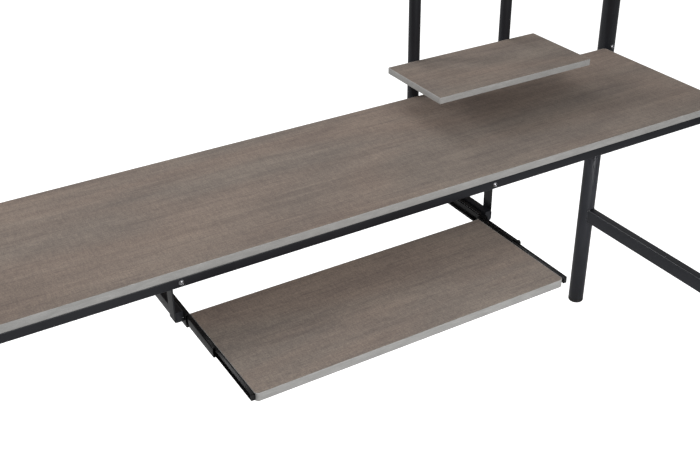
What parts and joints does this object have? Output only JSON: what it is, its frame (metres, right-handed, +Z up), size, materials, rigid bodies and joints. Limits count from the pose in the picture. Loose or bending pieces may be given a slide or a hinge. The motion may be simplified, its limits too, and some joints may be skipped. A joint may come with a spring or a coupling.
{
  "type": "computer desk with keyboard tray",
  "caption": "Long narrow computer desk on a tube frame, with a keyboard tray on telescopic slides, a small raised shelf and tall back uprights.",
  "frame": {"origin": "on the floor, at the middle of the overall length and of the overall depth with the tray pulled out", "axes": "+X to the sitter's right along the desktop's length, +Y from the sitter to the back, +Z up"},
  "size_m": [1.95, 0.6384, 1.2],
  "materials": {
    "laminate": "matt grey-brown wood-grain laminate",
    "edge_band": "matt light grey edge band",
    "frame_steel": "satin black powder coat",
    "slide_steel": "semi-gloss black, lightly oiled",
    "zinc_steel": "bright zinc plate",
    "black_plastic": "matt moulded plastic"
  },
  "bodies": {
    "frame": {"desktop_panel": "laminate", "desktop_edge_band": "edge_band", "front_rail": "frame_steel", "back_rail": "frame_steel", "rail_end_caps": "black_plastic", "left_cross_bar": "frame_steel", "middle_cross_bar": "frame_steel", "right_cross_bar": "frame_steel", "left_top_bar": "frame_steel", "right_top_bar": "frame_steel", "left_lower_bar": "frame_steel", "right_lower_bar": "frame_steel", "left_front_leg": "frame_steel", "right_front_leg": "frame_steel", "left_back_leg": "frame_steel", "right_back_leg": "frame_steel", "left_upright": "frame_steel", "right_upright": "frame_steel", "left_leg_sleeve": "zinc_steel", "right_leg_sleeve": "zinc_steel", "foot_caps": "black_plastic", "leg_top_caps": "black_plastic", "left_shelf_post": "frame_steel", "right_shelf_post": "frame_steel", "top_rail": "frame_steel", "top_rail_nuts": "zinc_steel", "post_inserts": "zinc_steel", "shelf_panel": "laminate", "shelf_edge_band": "edge_band", "left_shelf_arm": "frame_steel", "right_shelf_arm": "frame_steel", "shelf_screws": "zinc_steel", "desktop_screws": "zinc_steel", "frame_bolts": "zinc_steel", "leg_bolts": "zinc_steel", "hutch_bolts": "zinc_steel", "hutch_nuts": "zinc_steel", "left_hanger_front": "frame_steel", "left_hanger_rear": "frame_steel", "left_hanger_bar": "frame_steel", "right_hanger_front": "frame_steel", "right_hanger_rear": "frame_steel", "right_hanger_bar": "frame_steel", "hanger_bolts": "zinc_steel", "hanger_nuts": "zinc_steel", "left_fixed_slide": "slide_steel", "right_fixed_slide": "slide_steel", "slide_rivets": "zinc_steel"},
    "tray": {"left_inner_slide": "slide_steel", "right_inner_slide": "slide_steel", "tray_panel": "laminate", "tray_edge_band": "edge_band", "tray_screws": "zinc_steel"},
    "left_middle": {"left_middle_slide": "slide_steel"},
    "right_middle": {"right_middle_slide": "slide_steel"},
    "left_outer_balls": {"left_outer_cage": "zinc_steel"},
    "right_outer_balls": {"right_outer_cage": "zinc_steel"},
    "left_inner_balls": {"left_inner_cage": "zinc_steel"},
    "right_inner_balls": {"right_inner_cage": "zinc_steel"}
  },
  "joints": [
    {"name": "tray_slide", "type": "slide", "parent": "frame", "child": "tray", "axis": [0, 1, 0], "range_m": [0, 0.228]},
    {"name": "left_middle_slide", "type": "slide", "parent": "frame", "child": "left_middle", "axis": [0, 1, 0], "range_m": [0, 0.114]},
    {"name": "left_outer_cage_slide", "type": "slide", "parent": "frame", "child": "left_outer_balls", "axis": [0, 1, 0], "range_m": [0, 0.057]},
    {"name": "left_inner_cage_slide", "type": "slide", "parent": "frame", "child": "left_inner_balls", "axis": [0, 1, 0], "range_m": [0, 0.171]},
    {"name": "right_middle_slide", "type": "slide", "parent": "frame", "child": "right_middle", "axis": [0, 1, 0], "range_m": [0, 0.114]},
    {"name": "right_outer_cage_slide", "type": "slide", "parent": "frame", "child": "right_outer_balls", "axis": [0, 1, 0], "range_m": [0, 0.057]},
    {"name": "right_inner_cage_slide", "type": "slide", "parent": "frame", "child": "right_inner_balls", "axis": [0, 1, 0], "range_m": [0, 0.171]}
  ],
  "couplings": [
    {"joint": "left_middle_slide", "follows": "tray_slide", "ratio": 0.5},
    {"joint": "left_outer_cage_slide", "follows": "tray_slide", "ratio": 0.25},
    {"joint": "left_inner_cage_slide", "follows": "tray_slide", "ratio": 0.75},
    {"joint": "right_middle_slide", "follows": "tray_slide", "ratio": 0.5},
    {"joint": "right_outer_cage_slide", "follows": "tray_slide", "ratio": 0.25},
    {"joint": "right_inner_cage_slide", "follows": "tray_slide", "ratio": 0.75}
  ]
}
